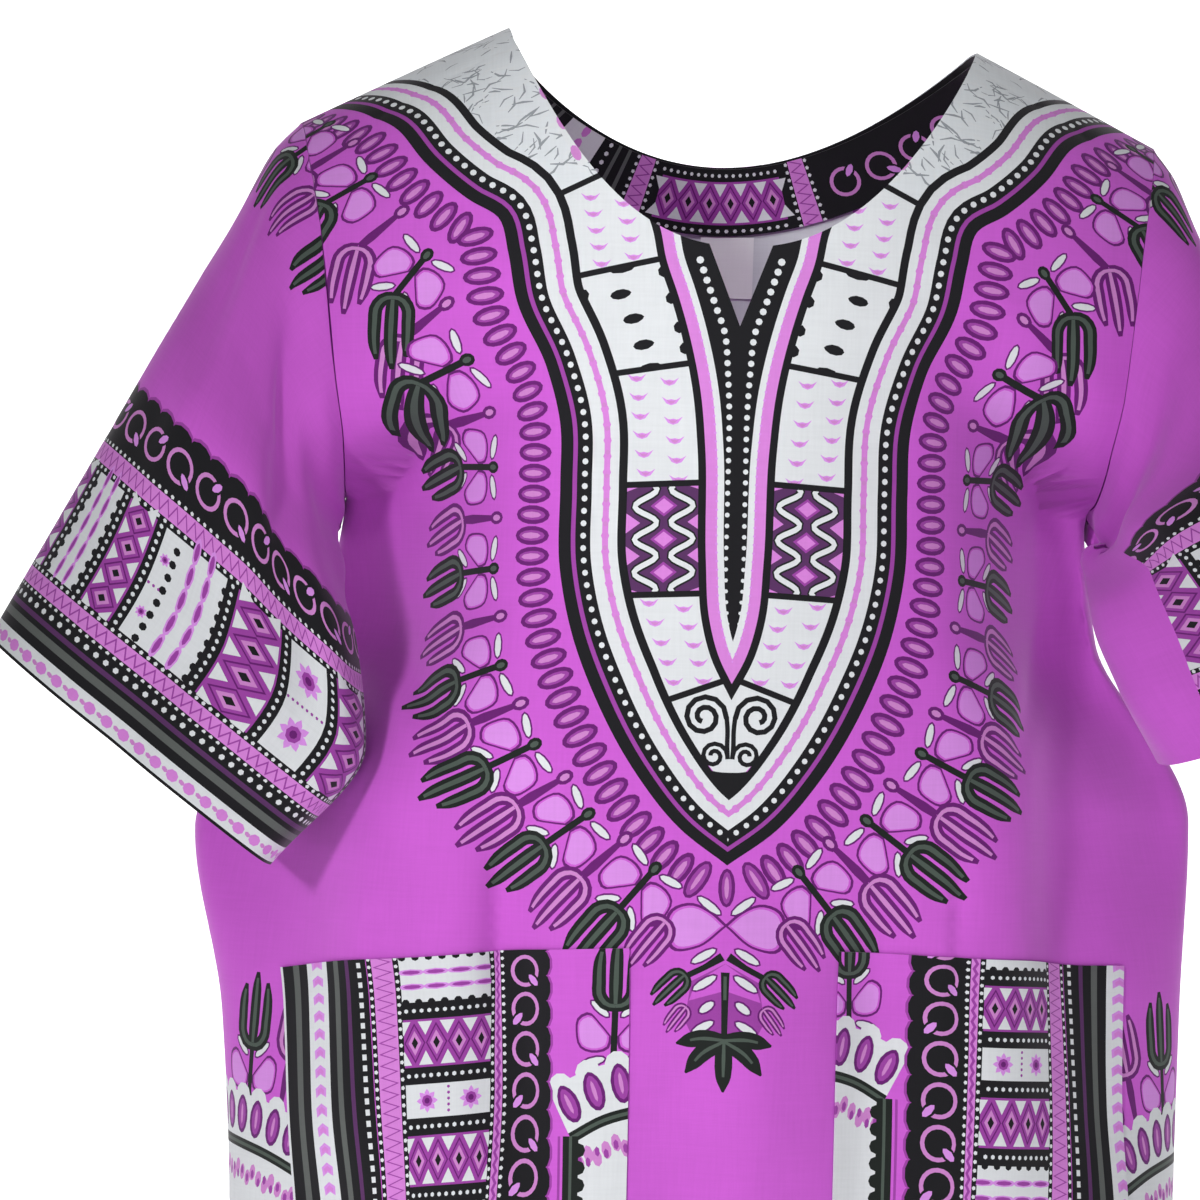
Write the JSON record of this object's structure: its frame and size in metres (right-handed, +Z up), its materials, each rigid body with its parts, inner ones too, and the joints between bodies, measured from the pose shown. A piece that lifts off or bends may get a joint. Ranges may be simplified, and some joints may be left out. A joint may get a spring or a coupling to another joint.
{
  "type": "dashiki shirt",
  "caption": "Loose pullover shirt of printed cotton with a slit round neck, dropped shoulders, wide short sleeves and patch pockets, hollow as it is worn.",
  "frame": {"origin": "midway between the two high shoulder points of the neck, where the wearer's shoulders hold the shirt up", "axes": "+Z up towards the neck, -Y out of the front, +X towards the wearer's left sleeve"},
  "size_m": [0.7385, 0.3012, 0.7761],
  "materials": {
    "printed_cotton": "plain woven cotton with a printed border pattern, soft and matt with a faint sheen",
    "label_tape": "smooth white woven tape, blank"
  },
  "bodies": {
    "root": {"front": "printed_cotton", "back": "printed_cotton", "sleeve_right": "printed_cotton", "sleeve_left": "printed_cotton", "pocket_right": "printed_cotton", "pocket_left": "printed_cotton", "back_neck_facing": "printed_cotton", "neck_label": "label_tape"}
  },
  "joints": []
}
